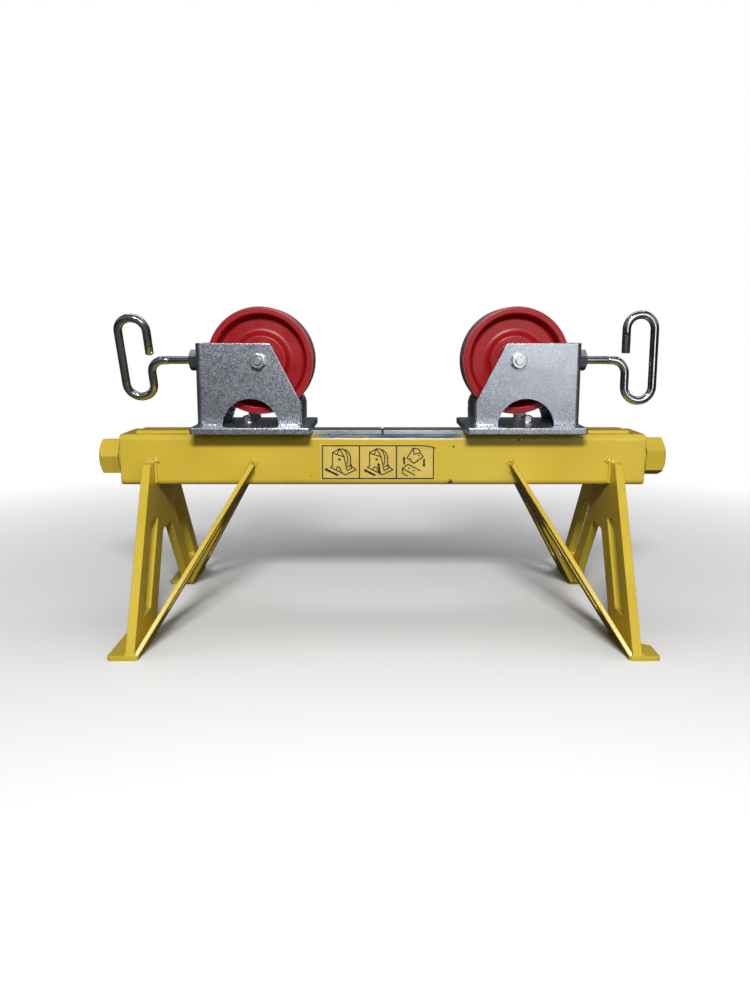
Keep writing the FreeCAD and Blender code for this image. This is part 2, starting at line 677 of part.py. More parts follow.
def make_axle_nut():
    seat = -HOUSING_WIDTH / 2
    nut = hexagon(AXLE_FLATS, AXLE_NUT, AXLE_CHAMFER, AXLE_NUT_TURN)
    nut = point_along(nut, Vector(0, -1, 0), (0, seat, AXLE_Z))
    return nut.cut(rod(AXLE_RADIUS, (0, 0, AXLE_Z), (0, -FAR, AXLE_Z)))


def make_brake_boss():
    boss = hexagon(BOSS_FLATS, BOSS_LENGTH, BOSS_CHAMFER, BOSS_TURN)
    boss = point_along(boss, X_AXIS, (HOUSING_OUTER, 0, AXLE_Z))
    return boss.cut(rod(SCREW_RADIUS + SCREW_PLAY, (0, 0, AXLE_Z), (FAR, 0, AXLE_Z)))


def make_brake_pad():
    face = WHEEL_RADIUS + PAD_GAP
    back = face + PAD_THICKNESS
    bore = PAD_TIP_RADIUS + PAD_TIP_PLAY
    return tube(PAD_RADIUS, bore, (face, 0, AXLE_Z), (back, 0, AXLE_Z))


def make_brake_screw():
    """Rod that runs out of the boss, down, round a low bend, up, over and down to its tip."""
    shoulder = WHEEL_RADIUS + PAD_GAP + PAD_THICKNESS + PAD_TIP_PLAY
    inner_leg = HOUSING_OUTER + HANDLE_REACH
    outer_leg = inner_leg + HANDLE_LOOP_WIDTH
    loop_radius = HANDLE_LOOP_WIDTH / 2
    low = AXLE_Z - HANDLE_BOTTOM + loop_radius
    high = AXLE_Z + HANDLE_TOP - loop_radius
    middle = (inner_leg + outer_leg) / 2
    bend = HANDLE_BEND
    slant = bend * math.sin(math.radians(45))
    tip_z = AXLE_Z + HANDLE_TIP_HEIGHT

    def at(x, z):
        return Vector(x, 0, z)

    edges = [
        Part.makeLine(at(shoulder, AXLE_Z), at(inner_leg - bend, AXLE_Z)),
        Part.Arc(at(inner_leg - bend, AXLE_Z), at(inner_leg - bend + slant, AXLE_Z - bend + slant),
                 at(inner_leg, AXLE_Z - bend)).toShape(),
        Part.makeLine(at(inner_leg, AXLE_Z - bend), at(inner_leg, low)),
        Part.Arc(at(inner_leg, low), at(middle, low - loop_radius), at(outer_leg, low)).toShape(),
        Part.makeLine(at(outer_leg, low), at(outer_leg, high)),
        Part.Arc(at(outer_leg, high), at(middle, high + loop_radius), at(inner_leg, high)).toShape(),
        Part.makeLine(at(inner_leg, high), at(inner_leg, tip_z)),
    ]
    path = Part.Wire(edges)
    section = Part.Wire(Part.makeCircle(SCREW_RADIUS, at(shoulder, AXLE_Z), X_AXIS))
    handle = path.makePipeShell([section], True, False)
    tip_end = WHEEL_RADIUS + PAD_GAP + PAD_TIP_INSET
    return handle.fuse(rod(PAD_TIP_RADIUS, (tip_end, 0, AXLE_Z), (shoulder + CLEAR, 0, AXLE_Z)))


def make_carriage(name, side):
    makers = [
        ("base_plate", make_base_plate), ("wheel_housing", make_wheel_housing),
        ("cross_plate", make_cross_plate), ("rear_lug", make_rear_lug),
        ("retaining_studs", make_studs), ("stud_washers", make_stud_washers),
        ("stud_nuts", make_stud_nuts), ("wheel", make_wheel), ("bearing_rollers", make_rollers),
        ("roller_cage", make_roller_cage), ("axle_sleeve", make_axle_sleeve),
        ("hub_spacers", make_hub_spacers), ("axle_bolt", make_axle_bolt),
        ("axle_nut", make_axle_nut), ("brake_boss", make_brake_boss),
        ("brake_pad", make_brake_pad), ("brake_screw", make_brake_screw),
    ]
    for piece, maker in makers:
        shape = maker()
        if side < 0:
            shape = shape.mirror(ORIGIN, X_AXIS)
        if piece == "brake_screw":
            shape.rotate(Vector(0, 0, AXLE_Z), X_AXIS, HANDLE_TURN[name])
        shape.translate(X_AXIS * side * CARRIAGE_X[name])
        save(name + "_" + piece, shape)


os.makedirs("parts", exist_ok=True)
make_stand()
for carriage_name, carriage_side in SIDES:
    make_carriage(carriage_name, carriage_side)
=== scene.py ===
# %% [markdown]
# # A roller trestle in steel, paint and zinc
# The real object is a low workshop stand. A box-section beam lies on two A-shaped plates with
# slots cut through them, two thinner plates brace the beam, and two plated carriages on top carry
# red rollers. Every steel part already exists as an exact solid, so this lesson adds what a solid
# can't have: weld beads, screw threads, the printed label, and a finish for each surface.

import json
import math
import random

import bmesh
import bpy
from mathutils import Matrix, Vector

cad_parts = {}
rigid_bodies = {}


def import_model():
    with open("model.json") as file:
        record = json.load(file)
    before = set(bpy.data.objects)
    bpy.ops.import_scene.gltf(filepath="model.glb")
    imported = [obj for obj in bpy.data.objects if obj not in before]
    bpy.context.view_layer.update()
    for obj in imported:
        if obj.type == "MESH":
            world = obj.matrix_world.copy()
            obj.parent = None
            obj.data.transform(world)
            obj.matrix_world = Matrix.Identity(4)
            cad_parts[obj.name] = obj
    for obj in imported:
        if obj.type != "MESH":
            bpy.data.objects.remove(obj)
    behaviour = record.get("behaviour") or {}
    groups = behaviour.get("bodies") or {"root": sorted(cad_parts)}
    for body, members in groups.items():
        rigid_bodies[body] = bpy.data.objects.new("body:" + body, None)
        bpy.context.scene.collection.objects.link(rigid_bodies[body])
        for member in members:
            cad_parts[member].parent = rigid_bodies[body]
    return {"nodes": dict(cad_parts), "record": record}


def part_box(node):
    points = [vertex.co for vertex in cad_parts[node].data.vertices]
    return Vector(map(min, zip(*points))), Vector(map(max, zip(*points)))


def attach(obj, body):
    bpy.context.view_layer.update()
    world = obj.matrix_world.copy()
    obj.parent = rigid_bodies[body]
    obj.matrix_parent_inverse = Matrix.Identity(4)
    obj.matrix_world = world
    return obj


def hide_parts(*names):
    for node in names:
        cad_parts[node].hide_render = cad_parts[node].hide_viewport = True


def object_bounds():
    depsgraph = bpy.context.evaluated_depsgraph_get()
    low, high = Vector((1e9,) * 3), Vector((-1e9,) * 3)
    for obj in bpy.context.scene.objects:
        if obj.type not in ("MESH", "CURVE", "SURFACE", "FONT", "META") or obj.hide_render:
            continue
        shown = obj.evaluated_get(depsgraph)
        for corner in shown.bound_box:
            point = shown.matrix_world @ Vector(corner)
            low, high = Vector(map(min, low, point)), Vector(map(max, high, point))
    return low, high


for leftover in list(bpy.data.objects):
    bpy.data.objects.remove(leftover)
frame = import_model()
cad_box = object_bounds()
record = frame["record"]
MM = 0.001
SIDES = (("left", -1), ("right", 1))
print("nodes:", len(frame["nodes"]), "box:", [round(v, 4) for v in (*cad_box[0], *cad_box[1])])

# %% [markdown]
# ## The camera first
# The eye stands in front of the trestle, a little above the wheels, and looks slightly down. A
# real lens length and a real position keep the perspective honest, so that a bolt at the rear is
# smaller by the right amount. The sensor width belongs to the longer side of the picture.

# %% Camera
camera = bpy.data.objects.new("camera", bpy.data.cameras.new("camera"))
bpy.context.scene.collection.objects.link(camera)
bpy.context.scene.camera = camera
camera.data.sensor_width = 36.0
camera.data.lens = 32.63
camera.location = (-0.009, -1.1006, 0.3346)
camera.rotation_euler = (math.radians(79.79), 0.0, 0.0)
camera.data.clip_start = 0.05
print("camera at", tuple(round(v, 3) for v in camera.location), "lens", camera.data.lens)

# %% [markdown]
# ## Floor and light
# Plated steel shows its surroundings more than its own colour. A plain white room would make it
# flat, so the world has one bright band above the horizon, is dim below and overhead, and is
# brighter on the right and towards the front. The camera itself sees plain white. A small strong
# lamp above the eye throws the shadow of the beam, a wide low one on the right lifts that side, and
# a weak long one over the rear touches the top edges.

# %% Helpers for node trees
def add_node(tree, kind, inputs=None, **settings):
    """Add a node, set its properties and fill its unlinked inputs."""
    made = tree.nodes.new(kind)
    for key, value in settings.items():
        setattr(made, key, value)
    for key, value in (inputs or {}).items():
        made.inputs[key].default_value = value
    return made


def ramp(tree, source, stops):
    """Colour ramp from a value; a stop is a position with a grey or a colour."""
    made = add_node(tree, "ShaderNodeValToRGB")
    elements = made.color_ramp.elements
    while len(elements) > 1:
        elements.remove(elements[-1])
    for index, (position, value) in enumerate(stops):
        spot = elements[0] if index == 0 else elements.new(position)
        spot.position = position
        colour = (value, value, value) if isinstance(value, (int, float)) else value
        spot.color = (*colour, 1.0)
    tree.links.new(source, made.inputs["Fac"])
    return made.outputs["Color"]


def math_node(tree, operation, first, second=0.0):
    """Arithmetic on two values, each a socket or a number."""
    made = add_node(tree, "ShaderNodeMath", operation=operation)
    for index, value in enumerate((first, second)):
        if isinstance(value, bpy.types.NodeSocket):
            tree.links.new(value, made.inputs[index])
        else:
            made.inputs[index].default_value = value
    return made.outputs[0]


def scale_and_add(tree, value, factor, offset):
    """A value times a factor plus an offset; the offset is a socket or a number."""
    made = add_node(tree, "ShaderNodeMath", {1: factor}, operation="MULTIPLY_ADD")
    tree.links.new(value, made.inputs[0])
    if isinstance(offset, bpy.types.NodeSocket):
        tree.links.new(offset, made.inputs[2])
    else:
        made.inputs[2].default_value = offset
    return made.outputs[0]


def mix_colour(tree, factor, first, second, blend="MIX"):
    """Mix of two colours, each a socket or an RGB value, by a socket or a number."""
    made = add_node(tree, "ShaderNodeMix", data_type="RGBA", blend_type=blend)
    for index, value in ((0, factor), (6, first), (7, second)):
        if isinstance(value, bpy.types.NodeSocket):
            tree.links.new(value, made.inputs[index])
        elif index == 0:
            made.inputs[index].default_value = value
        else:
            made.inputs[index].default_value = (*value, 1.0)
    return made.outputs[2]


# %% World
world = bpy.data.worlds.new("studio")
bpy.context.scene.world = world
world.use_nodes = True
sky = world.node_tree
sky.nodes.clear()
direction = add_node(sky, "ShaderNodeTexCoord").outputs["Generated"]
parts = add_node(sky, "ShaderNodeSeparateXYZ")
sky.links.new(direction, parts.inputs[0])
height = scale_and_add(sky, parts.outputs["Z"], 0.5, 0.5)
GLOW_BY_HEIGHT = [(0.0, 0.1), (0.46, 0.07), (0.5, 0.015), (0.55, 0.02), (0.64, 0.34),
                  (0.78, 0.42), (0.88, 0.12), (1.0, 0.06)]
by_height = ramp(sky, height, GLOW_BY_HEIGHT)
sideways = scale_and_add(sky, parts.outputs["X"], 0.3, 0.9)
frontways = scale_and_add(sky, parts.outputs["Y"], -0.35, 0.65)
room = mix_colour(sky, 1.0, by_height, math_node(sky, "MULTIPLY", sideways, frontways), "MULTIPLY")
seen = add_node(sky, "ShaderNodeLightPath").outputs["Is Camera Ray"]
shown = mix_colour(sky, seen, room, (1.0, 1.0, 1.0))
background = add_node(sky, "ShaderNodeBackground", {"Strength": 1.0})
sky.links.new(shown, background.inputs["Color"])
output = add_node(sky, "ShaderNodeOutputWorld")
sky.links.new(background.outputs[0], output.inputs["Surface"])
bpy.context.scene.view_settings.view_transform = "Standard"
print("world nodes:", len(sky.nodes))


# %% Lamps and floor
def add_lamp(name, location, target, size, power):
    """Rectangular area lamp that faces a point."""
    lamp = bpy.data.objects.new(name, bpy.data.lights.new(name, "AREA"))
    bpy.context.scene.collection.objects.link(lamp)
    lamp.data.shape = "RECTANGLE"
    lamp.data.size, lamp.data.size_y = size
    lamp.data.energy = power
    lamp.location = location
    lamp.rotation_euler = (Vector(target) - Vector(location)).to_track_quat("-Z", "Y").to_euler()


middle = (cad_box[0] + cad_box[1]) / 2
add_lamp("key_lamp", (0.0, -1.6, 1.08), middle, (0.4, 0.2), 31.0)
add_lamp("right_fill", (0.8, -2.0, 0.62), middle, (0.9, 0.95), 5.5)
add_lamp("top_back", (0.0, 0.5, 1.6), middle, (1.8, 0.5), 5.0)

floor_mesh = bmesh.new()
bmesh.ops.create_grid(floor_mesh, x_segments=1, y_segments=1, size=6.0)
floor_data = bpy.data.meshes.new("floor")
floor_mesh.to_mesh(floor_data)
floor_mesh.free()
floor = bpy.data.objects.new("floor", floor_data)
bpy.context.scene.collection.objects.link(floor)
pale = bpy.data.materials.new("pale_floor")
pale.use_nodes = True
ground = pale.node_tree
surface = ground.nodes["Principled BSDF"]
surface.inputs["Roughness"].default_value = 0.8
seen = add_node(ground, "ShaderNodeLightPath").outputs["Is Camera Ray"]
floor_tone = mix_colour(ground, seen, (0.06, 0.06, 0.06), (0.93, 0.93, 0.93))
ground.links.new(floor_tone, surface.inputs["Base Color"])
distance = add_node(ground, "ShaderNodeVectorMath", operation="LENGTH")
ground.links.new(add_node(ground, "ShaderNodeTexCoord").outputs["Object"], distance.inputs[0])
share_out = math_node(ground, "DIVIDE", distance.outputs["Value"], 2.0)
far_off = ramp(ground, share_out, [(0.15, 0.0), (0.6, 1.0)])
fade = math_node(ground, "MULTIPLY", far_off, seen)
glow = add_node(ground, "ShaderNodeEmission")
blend = add_node(ground, "ShaderNodeMixShader")
ground.links.new(fade, blend.inputs[0])
ground.links.new(surface.outputs[0], blend.inputs[1])
ground.links.new(glow.outputs[0], blend.inputs[2])
ground.links.new(blend.outputs[0], ground.nodes["Material Output"].inputs["Surface"])
floor_data.materials.append(pale)

# %% [markdown]
# ## Finishes
# Each finish is a node tree that reads the Object coordinates, in metres, so a pattern keeps its
# real scale on every piece. A surface is built from three things: where its colour changes, where
# its gloss changes, and a fine bump. One flat colour looks like plastic film, so each has all three.

# %% Parts that every finish shares
def new_finish(name):
    """Empty material with its shader, and the object's coordinates."""
    finish = bpy.data.materials.new(name)
    finish.use_nodes = True
    tree = finish.node_tree
    shader = tree.nodes["Principled BSDF"]
    place = add_node(tree, "ShaderNodeTexCoord").outputs["Object"]
    return finish, tree, shader, place


def noise(tree, place, scale, detail=3.0, roughness=0.55, stretch=None):
    """Noise value between 0 and 1 at so many lumps a metre, stretched along the axes if asked."""
    if stretch:
        mapping = add_node(tree, "ShaderNodeMapping")
        mapping.inputs["Scale"].default_value = stretch
        tree.links.new(place, mapping.inputs["Vector"])
        place = mapping.outputs["Vector"]
    made = add_node(tree, "ShaderNodeTexNoise",
                    {"Scale": scale, "Detail": detail, "Roughness": roughness})
    tree.links.new(place, made.inputs["Vector"])
    return made.outputs["Fac"]


def bump(tree, shader, height, distance, strength):
    """Bump from a height value; the distance is how deep it is, in metres."""
    made = add_node(tree, "ShaderNodeBump", {"Strength": strength, "Distance": distance})
    tree.links.new(height, made.inputs["Height"])
    tree.links.new(made.outputs["Normal"], shader.inputs["Normal"])


def between(tree, value, low, high, soft):
    """One where a value lies between two limits, with soft edges."""
    rise = add_node(tree, "ShaderNodeMapRange",
                    {"From Min": low - soft, "From Max": low + soft}, interpolation_type="SMOOTHSTEP")
    fall = add_node(tree, "ShaderNodeMapRange",
                    {"From Min": high - soft, "From Max": high + soft, "To Min": 1.0, "To Max": 0.0},
                    interpolation_type="SMOOTHSTEP")
    tree.links.new(value, rise.inputs["Value"])
    tree.links.new(value, fall.inputs["Value"])
    return math_node(tree, "MULTIPLY", rise.outputs[0], fall.outputs[0])


def axes(tree, place):
    """The three coordinates as separate values."""
    made = add_node(tree, "ShaderNodeSeparateXYZ")
    tree.links.new(place, made.inputs[0])
    return made.outputs["X"], made.outputs["Y"], made.outputs["Z"]


# %% [markdown]
# ### Yellow enamel
# The paint is a thick sprayed enamel: glossy, with a faint orange-peel ripple, a little darker
# where it is dusty. Bare chips show dark primer. The beam has a streaky blue-grey band along its
# front top edge, its top is painted dark as painted shade in the gap between the two rail bars,
# and the rail is rubbed down to steel between the carriages.

# %% Yellow paint
PAINT = (0.62, 0.46, 0.052)
PAINT_DEEP = (0.545, 0.388, 0.033)
# Dark primer of the bare chips; the same colour is also painted shade in the gap between the rail bars.
PRIMER_AND_GAP_SHADE = (0.06, 0.03, 0.015)
BAND_FROM, BAND_TO = -78.0 * MM, 96.0 * MM
BARE_FROM, BARE_TO = -108.0 * MM, 106.0 * MM
CHIPS = (((83.3, 207.5), 3.2), ((80.0, 165.0), 7.8), ((160.0, 215.0), 3.4), ((-85.0, 172.5), 2.0))


def paint_colour(tree, place):
    """Enamel colour with slow variation and fine dust."""
    slow = noise(tree, place, 9.0, 2.0)
    fine = noise(tree, place, 160.0, 4.0)
    tone = mix_colour(tree, ramp(tree, slow, [(0.35, 0.0), (0.7, 1.0)]), PAINT, PAINT_DEEP)
    dusty = ramp(tree, fine, [(0.5, 0.0), (0.8, 0.1)])
    return mix_colour(tree, dusty, tone, (0.55, 0.45, 0.2))


def paint_surface(tree, shader, place, worn=None):
    """Gloss and ripple of the enamel; worn is a mask of bare metal."""
    patches = noise(tree, place, 26.0, 3.0)
    rough = ramp(tree, patches, [(0.3, 0.2), (0.75, 0.3)])
    if worn is not None:
        rough = mix_colour(tree, worn, rough, (0.42, 0.42, 0.42))
        tree.links.new(worn, shader.inputs["Metallic"])
    tree.links.new(rough, shader.inputs["Roughness"])
    shader.inputs["Specular IOR Level"].default_value = 0.35
    bump(tree, shader, noise(tree, place, 420.0, 2.0), 0.0002, 0.35)


def yellow_paint():
    finish, tree, shader, place = new_finish("yellow_enamel")
    tree.links.new(paint_colour(tree, place), shader.inputs["Base Color"])
    paint_surface(tree, shader, place)
    return finish


def chip(tree, place, centre, radius):
    """Mask of one ragged chip: its distance from a point, roughened by noise."""
    offset = add_node(tree, "ShaderNodeVectorMath", operation="DISTANCE")
    offset.inputs[1].default_value = centre
    tree.links.new(place, offset.inputs[0])
    ragged = scale_and_add(tree, noise(tree, place, 900.0, 3.0), radius * 1.2, offset.outputs["Value"])
    return ramp(tree, math_node(tree, "DIVIDE", ragged, radius * 2.0), [(0.42, 1.0), (0.55, 0.0)])


def beam_paint():
    """Enamel with a streaky blue-grey band along the front top edge, and a few chips."""
    finish, tree, shader, place = new_finish("beam_enamel")
    x, y, z = axes(tree, place)
    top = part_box("beam_tube")[1].z
    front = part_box("beam_tube")[0].y
    # A streaky blue-grey band on the beam's top face near its front edge, between two x limits.
    along = between(tree, x, BAND_FROM, BAND_TO, 0.02)
    on_top = between(tree, z, top - 0.0046, top + 0.01, 0.0007)
    in_front = between(tree, y, front - 0.01, front + 0.024, 0.004)
    patch = math_node(tree, "MULTIPLY", math_node(tree, "MULTIPLY", along, on_top), in_front)
    streaks = noise(tree, place, 55.0, 4.0, 0.6, (0.45, 1.6, 1.6))
    blue_grey_band = math_node(tree, "MULTIPLY", patch, ramp(tree, streaks, [(0.28, 0.35), (0.44, 1.0)]))
    blues = ramp(tree, noise(tree, place, 70.0, 3.0, 0.6, (0.4, 1.5, 1.5)),
                 [(0.3, (0.03, 0.055, 0.11)), (0.55, (0.09, 0.13, 0.2)), (0.8, (0.3, 0.34, 0.33))])
    colour = mix_colour(tree, blue_grey_band, paint_colour(tree, place), blues)
    chips = None
    for (chip_x, chip_z), radius in CHIPS:
        mask = chip(tree, place, (chip_x * MM, front, chip_z * MM), radius * MM)
        chips = mask if chips is None else math_node(tree, "MAXIMUM", chips, mask)
    colour = mix_colour(tree, chips, colour, PRIMER_AND_GAP_SHADE)
    # Painted shade: the beam's top is painted dark in the narrow gap between the two rail bars.
    painted_gap_shade = math_node(tree, "MULTIPLY", between(tree, x, -0.003, 0.003, 0.0006),
                           between(tree, z, top - 0.0005, top + 0.01, 0.0002))
    colour = mix_colour(tree, painted_gap_shade, colour, PRIMER_AND_GAP_SHADE)
    tree.links.new(colour, shader.inputs["Base Color"])
    paint_surface(tree, shader, place)
    return finish


def rail_paint():
    """Rail: rubbed to bright steel between the carriages, painted outside them."""
    finish, tree, shader, place = new_finish("rail_worn_enamel")
    x = axes(tree, place)[0]
    along = between(tree, x, BARE_FROM, BARE_TO, 0.016)
    scrapes = noise(tree, place, 90.0, 4.0, 0.6, (0.25, 1.5, 1.5))
    bare = math_node(tree, "MULTIPLY", along, ramp(tree, scrapes, [(0.28, 0.55), (0.42, 1.0)]))
    steel = ramp(tree, noise(tree, place, 60.0, 4.0, 0.6, (0.2, 1.5, 1.5)),
                 [(0.3, (0.16, 0.19, 0.2)), (0.6, (0.42, 0.46, 0.46)), (0.8, (0.6, 0.62, 0.6))])
    colour = mix_colour(tree, bare, paint_colour(tree, place), steel)
    tree.links.new(colour, shader.inputs["Base Color"])
    paint_surface(tree, shader, place, worn=bare)
    return finish


# %% [markdown]
# ### Zinc
# Electroplated sheet steel has a fine spangle, small crystals that each catch the light their own
# way, with dull specks. Voronoi cells give the crystals one random grey each, and a fine noise gives
# the specks. Fasteners are plated the same way but are smoother, and the brake rods are polished.

# %% Zinc and steel
def add_grey(tree, colour):
    """A grey value from a colour."""
    made = add_node(tree, "ShaderNodeRGBToBW")
    tree.links.new(colour, made.inputs[0])
    return made.outputs[0]


def zinc_sheet():
    finish, tree, shader, place = new_finish("zinc_spangle")
    grain = add_node(tree, "ShaderNodeTexVoronoi", {"Scale": 700.0})
    tree.links.new(place, grain.inputs["Vector"])
    crystal = add_grey(tree, grain.outputs["Color"])
    cloud = noise(tree, place, 38.0, 4.0)
    specks = noise(tree, place, 620.0, 3.0, 0.7)
    dimples = noise(tree, place, 430.0, 2.0, 0.5)
    tone = ramp(tree, crystal, [(0.05, (0.4, 0.43, 0.48)), (0.6, (0.46, 0.49, 0.55)),
                                (0.97, (0.58, 0.61, 0.68))])
    tone = mix_colour(tree, ramp(tree, cloud, [(0.35, 0.0), (0.7, 0.55)]), tone, (0.33, 0.35, 0.4))
    tone = mix_colour(tree, ramp(tree, specks, [(0.66, 0.0), (0.69, 1.0)]), tone, (1.0, 1.0, 1.0))
    tone = mix_colour(tree, ramp(tree, specks, [(0.28, 0.85), (0.32, 0.0)]), tone, (0.1, 0.11, 0.13))
    tree.links.new(tone, shader.inputs["Base Color"])
    rough = ramp(tree, crystal, [(0.0, 0.23), (1.0, 0.36)])
    tree.links.new(rough, shader.inputs["Roughness"])
    shader.inputs["Metallic"].default_value = 0.95
    bump(tree, shader, dimples, 0.0002, 0.03)
    return finish


def plated(name, base, dull, rough_low, rough_high, grain=260.0, stretch=None):
    """Plated or ground steel: clouds of dull colour, fine specks and a light bump."""
    finish, tree, shader, place = new_finish(name)
    cloud = noise(tree, place, 110.0, 4.0, 0.6, stretch)
    colour = mix_colour(tree, ramp(tree, cloud, [(0.35, 0.0), (0.75, 1.0)]), base, dull)
    fine = noise(tree, place, grain, 3.0, 0.6, stretch)
    colour = mix_colour(tree, ramp(tree, fine, [(0.62, 0.0), (0.75, 0.5)]), colour, dull)
    tree.links.new(colour, shader.inputs["Base Color"])
    tree.links.new(ramp(tree, cloud, [(0.3, rough_low), (0.8, rough_high)]), shader.inputs["Roughness"])
    shader.inputs["Metallic"].default_value = 1.0
    bump(tree, shader, fine, 0.0001, 0.25)
    return finish


# %% [markdown]
# ### Red roller
# The wheel is moulded in a hard red plastic with a soft gloss. Its tread is painted pale and greyish,
# partly rubbing wear and partly a painted reflection, so the finish looks at the distance from the axle.

# %% Wheel and small plastics
def red_roller():
    finish, tree, shader, place = new_finish("red_moulded")
    x, _, z = axes(tree, place)
    hub = (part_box("right_wheel")[0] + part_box("right_wheel")[1]) / 2
    other = (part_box("left_wheel")[0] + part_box("left_wheel")[1]) / 2
    near = math_node(tree, "GREATER_THAN", x, (hub.x + other.x) / 2)
    centre_x = scale_and_add(tree, near, hub.x - other.x, other.x)
    dx = math_node(tree, "SUBTRACT", x, centre_x)
    dz = math_node(tree, "SUBTRACT", z, hub.z)
    across = math_node(tree, "MULTIPLY", dx, dx)
    up = math_node(tree, "MULTIPLY", dz, dz)
    radius = math_node(tree, "SQRT", math_node(tree, "ADD", across, up))
    tread_radius = hub.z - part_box("right_wheel")[0].z
    tread = between(tree, radius, tread_radius - 0.0009, tread_radius + 0.01, 0.0005)
    # Uneven amount of the pale tread: partly rubbing wear, partly a painted reflection.
    sheen_and_rubbing = ramp(tree, noise(tree, place, 120.0, 4.0), [(0.3, 0.5), (0.6, 0.9)])
    worn = math_node(tree, "MULTIPLY", tread, sheen_and_rubbing)
    reds = mix_colour(tree, ramp(tree, noise(tree, place, 35.0, 3.0), [(0.35, 0.0), (0.75, 1.0)]),
                      (0.33, 0.009, 0.012), (0.26, 0.006, 0.009))
    # Pale greyish tread colour: a painted reflection together with rubbing wear.
    colour = mix_colour(tree, worn, reds, (0.36, 0.19, 0.2))
    specks = noise(tree, place, 700.0, 2.0, 0.6)
    colour = mix_colour(tree, ramp(tree, specks, [(0.72, 0.0), (0.78, 0.35)]), colour, (0.6, 0.3, 0.3))
    tree.links.new(colour, shader.inputs["Base Color"])
    soft_gloss = ramp(tree, noise(tree, place, 60.0), [(0.3, 0.26), (0.8, 0.4)])
    rough = mix_colour(tree, worn, soft_gloss, (0.55, 0.55, 0.55))
    tree.links.new(rough, shader.inputs["Roughness"])
    shader.inputs["Specular IOR Level"].default_value = 0.3
    bump(tree, shader, noise(tree, place, 380.0, 2.0), 0.00015, 0.3)
    return finish


def small_plastic(name, colour, rough):
    """Moulded part with a slightly cloudy surface."""
    finish, tree, shader, place = new_finish(name)
    lighter = tuple(min(1.0, c * 1.5) for c in colour)
    tone = mix_colour(tree, noise(tree, place, 90.0, 3.0), colour, lighter)
    tree.links.new(tone, shader.inputs["Base Color"])
    cloudy = ramp(tree, noise(tree, place, 140.0), [(0.3, rough), (0.8, rough + 0.15)])
    tree.links.new(cloudy, shader.inputs["Roughness"])
    bump(tree, shader, noise(tree, place, 600.0), 0.0001, 0.3)
    return finish


def label_film():
    """Thin printed film, the paint's colour but paler and flatter."""
    finish, tree, shader, place = new_finish("label_film_print")
    tone = mix_colour(tree, ramp(tree, noise(tree, place, 40.0, 3.0), [(0.3, 0.0), (0.7, 1.0)]),
                      (0.66, 0.49, 0.11), (0.58, 0.41, 0.075))
    tree.links.new(tone, shader.inputs["Base Color"])
    rough = ramp(tree, noise(tree, place, 60.0), [(0.3, 0.3), (0.8, 0.45)])
    tree.links.new(rough, shader.inputs["Roughness"])
    bump(tree, shader, noise(tree, place, 150.0), 0.0002, 0.25)
    return finish


# %% Put a finish on every solid
finishes = {
    "yellow_paint": yellow_paint(),
    "label_film": label_film(),
    "zinc_sheet": zinc_sheet(),
    "zinc_fastener": plated("zinc_bright", (0.8, 0.82, 0.84), (0.5, 0.52, 0.55), 0.22, 0.36),
    "bright_rod": plated("polished_rod", (0.6, 0.62, 0.66), (0.4, 0.42, 0.46), 0.08, 0.18),
    "red_tread": red_roller(),
    "bearing_steel": plated("ground_steel", (0.6, 0.6, 0.61), (0.42, 0.42, 0.43), 0.2, 0.32),
    "bearing_cage": small_plastic("cage_nylon", (0.03, 0.03, 0.035), 0.45),
    "spacer_plastic": small_plastic("spacer_nylon", (0.05, 0.05, 0.055), 0.4),
}
ink = small_plastic("label_ink", (0.006, 0.005, 0.004), 0.6)
special = {"beam_tube": beam_paint(), "left_rail": rail_paint()}
special["right_rail"] = special["left_rail"]
special["left_brake_boss"] = plated("dull_zinc", (0.3, 0.31, 0.34), (0.15, 0.16, 0.18), 0.2, 0.34)
special["right_brake_boss"] = special["left_brake_boss"]
for part in record["subparts"]:
    node = frame["nodes"][part["node"]]
    finish = special.get(part["node"], finishes[part["material_slot"]])
    for place in node.material_slots:
        place.material = finish
print("finishes:", sorted(finishes))

# %% [markdown]
# ## Weld beads
# The plates are held by fillet welds: rounded ridges with a ripple where the pool froze, step by
# step. A Boolean or a texture would look cut or flat. Here a small ring of points walks along
# each seam. Every step extrudes the ring's edges, moves the new ring on and swells or shrinks it,
# which is how a real bead grows.

# %% Walk a ring along a path
BEAD_END = 0.45
BEAD_VALLEY = 0.84


def stepped(corners, pitch):
    """Points along straight runs, about a pitch apart, and a corner never skipped."""
    points = [Vector(corners[0])]
    for start, end in zip(corners, corners[1:]):
        start, end = Vector(start), Vector(end)
        count = max(1, round((end - start).length / pitch))
        points += [start.lerp(end, step / count) for step in range(1, count + 1)]
    return points


def rim_edges(verts):
    """Edges that join the given points to one another."""
    ring = set(verts)
    return list({edge for vert in ring for edge in vert.link_edges if edge.other_vert(vert) in ring})


def grow_ring(shape, edges, centre, move, swell=1.0, turn=None):
    """Extrude a ring's edges, then scale, turn and move the new ring."""
    made = bmesh.ops.extrude_edge_only(shape, edges=edges)["geom"]
    verts = [item for item in made if isinstance(item, bmesh.types.BMVert)]
    around = Matrix.Translation(-centre)
    bmesh.ops.scale(shape, vec=(swell, swell, swell), space=around, verts=verts)
    if turn is not None:
        bmesh.ops.rotate(shape, cent=centre, matrix=turn, verts=verts)
    bmesh.ops.translate(shape, vec=move, verts=verts)
    return rim_edges(verts)


def first_ring(shape, radius, centre, heading, segments=8):
    """Closed disc that faces along a heading; returns the edges of its rim."""
    facing = Matrix.Translation(centre) @ heading.to_track_quat("Z", "Y").to_matrix().to_4x4()
    made = bmesh.ops.create_circle(shape, cap_ends=True, radius=radius, segments=segments, matrix=facing)
    return rim_edges(made["verts"])


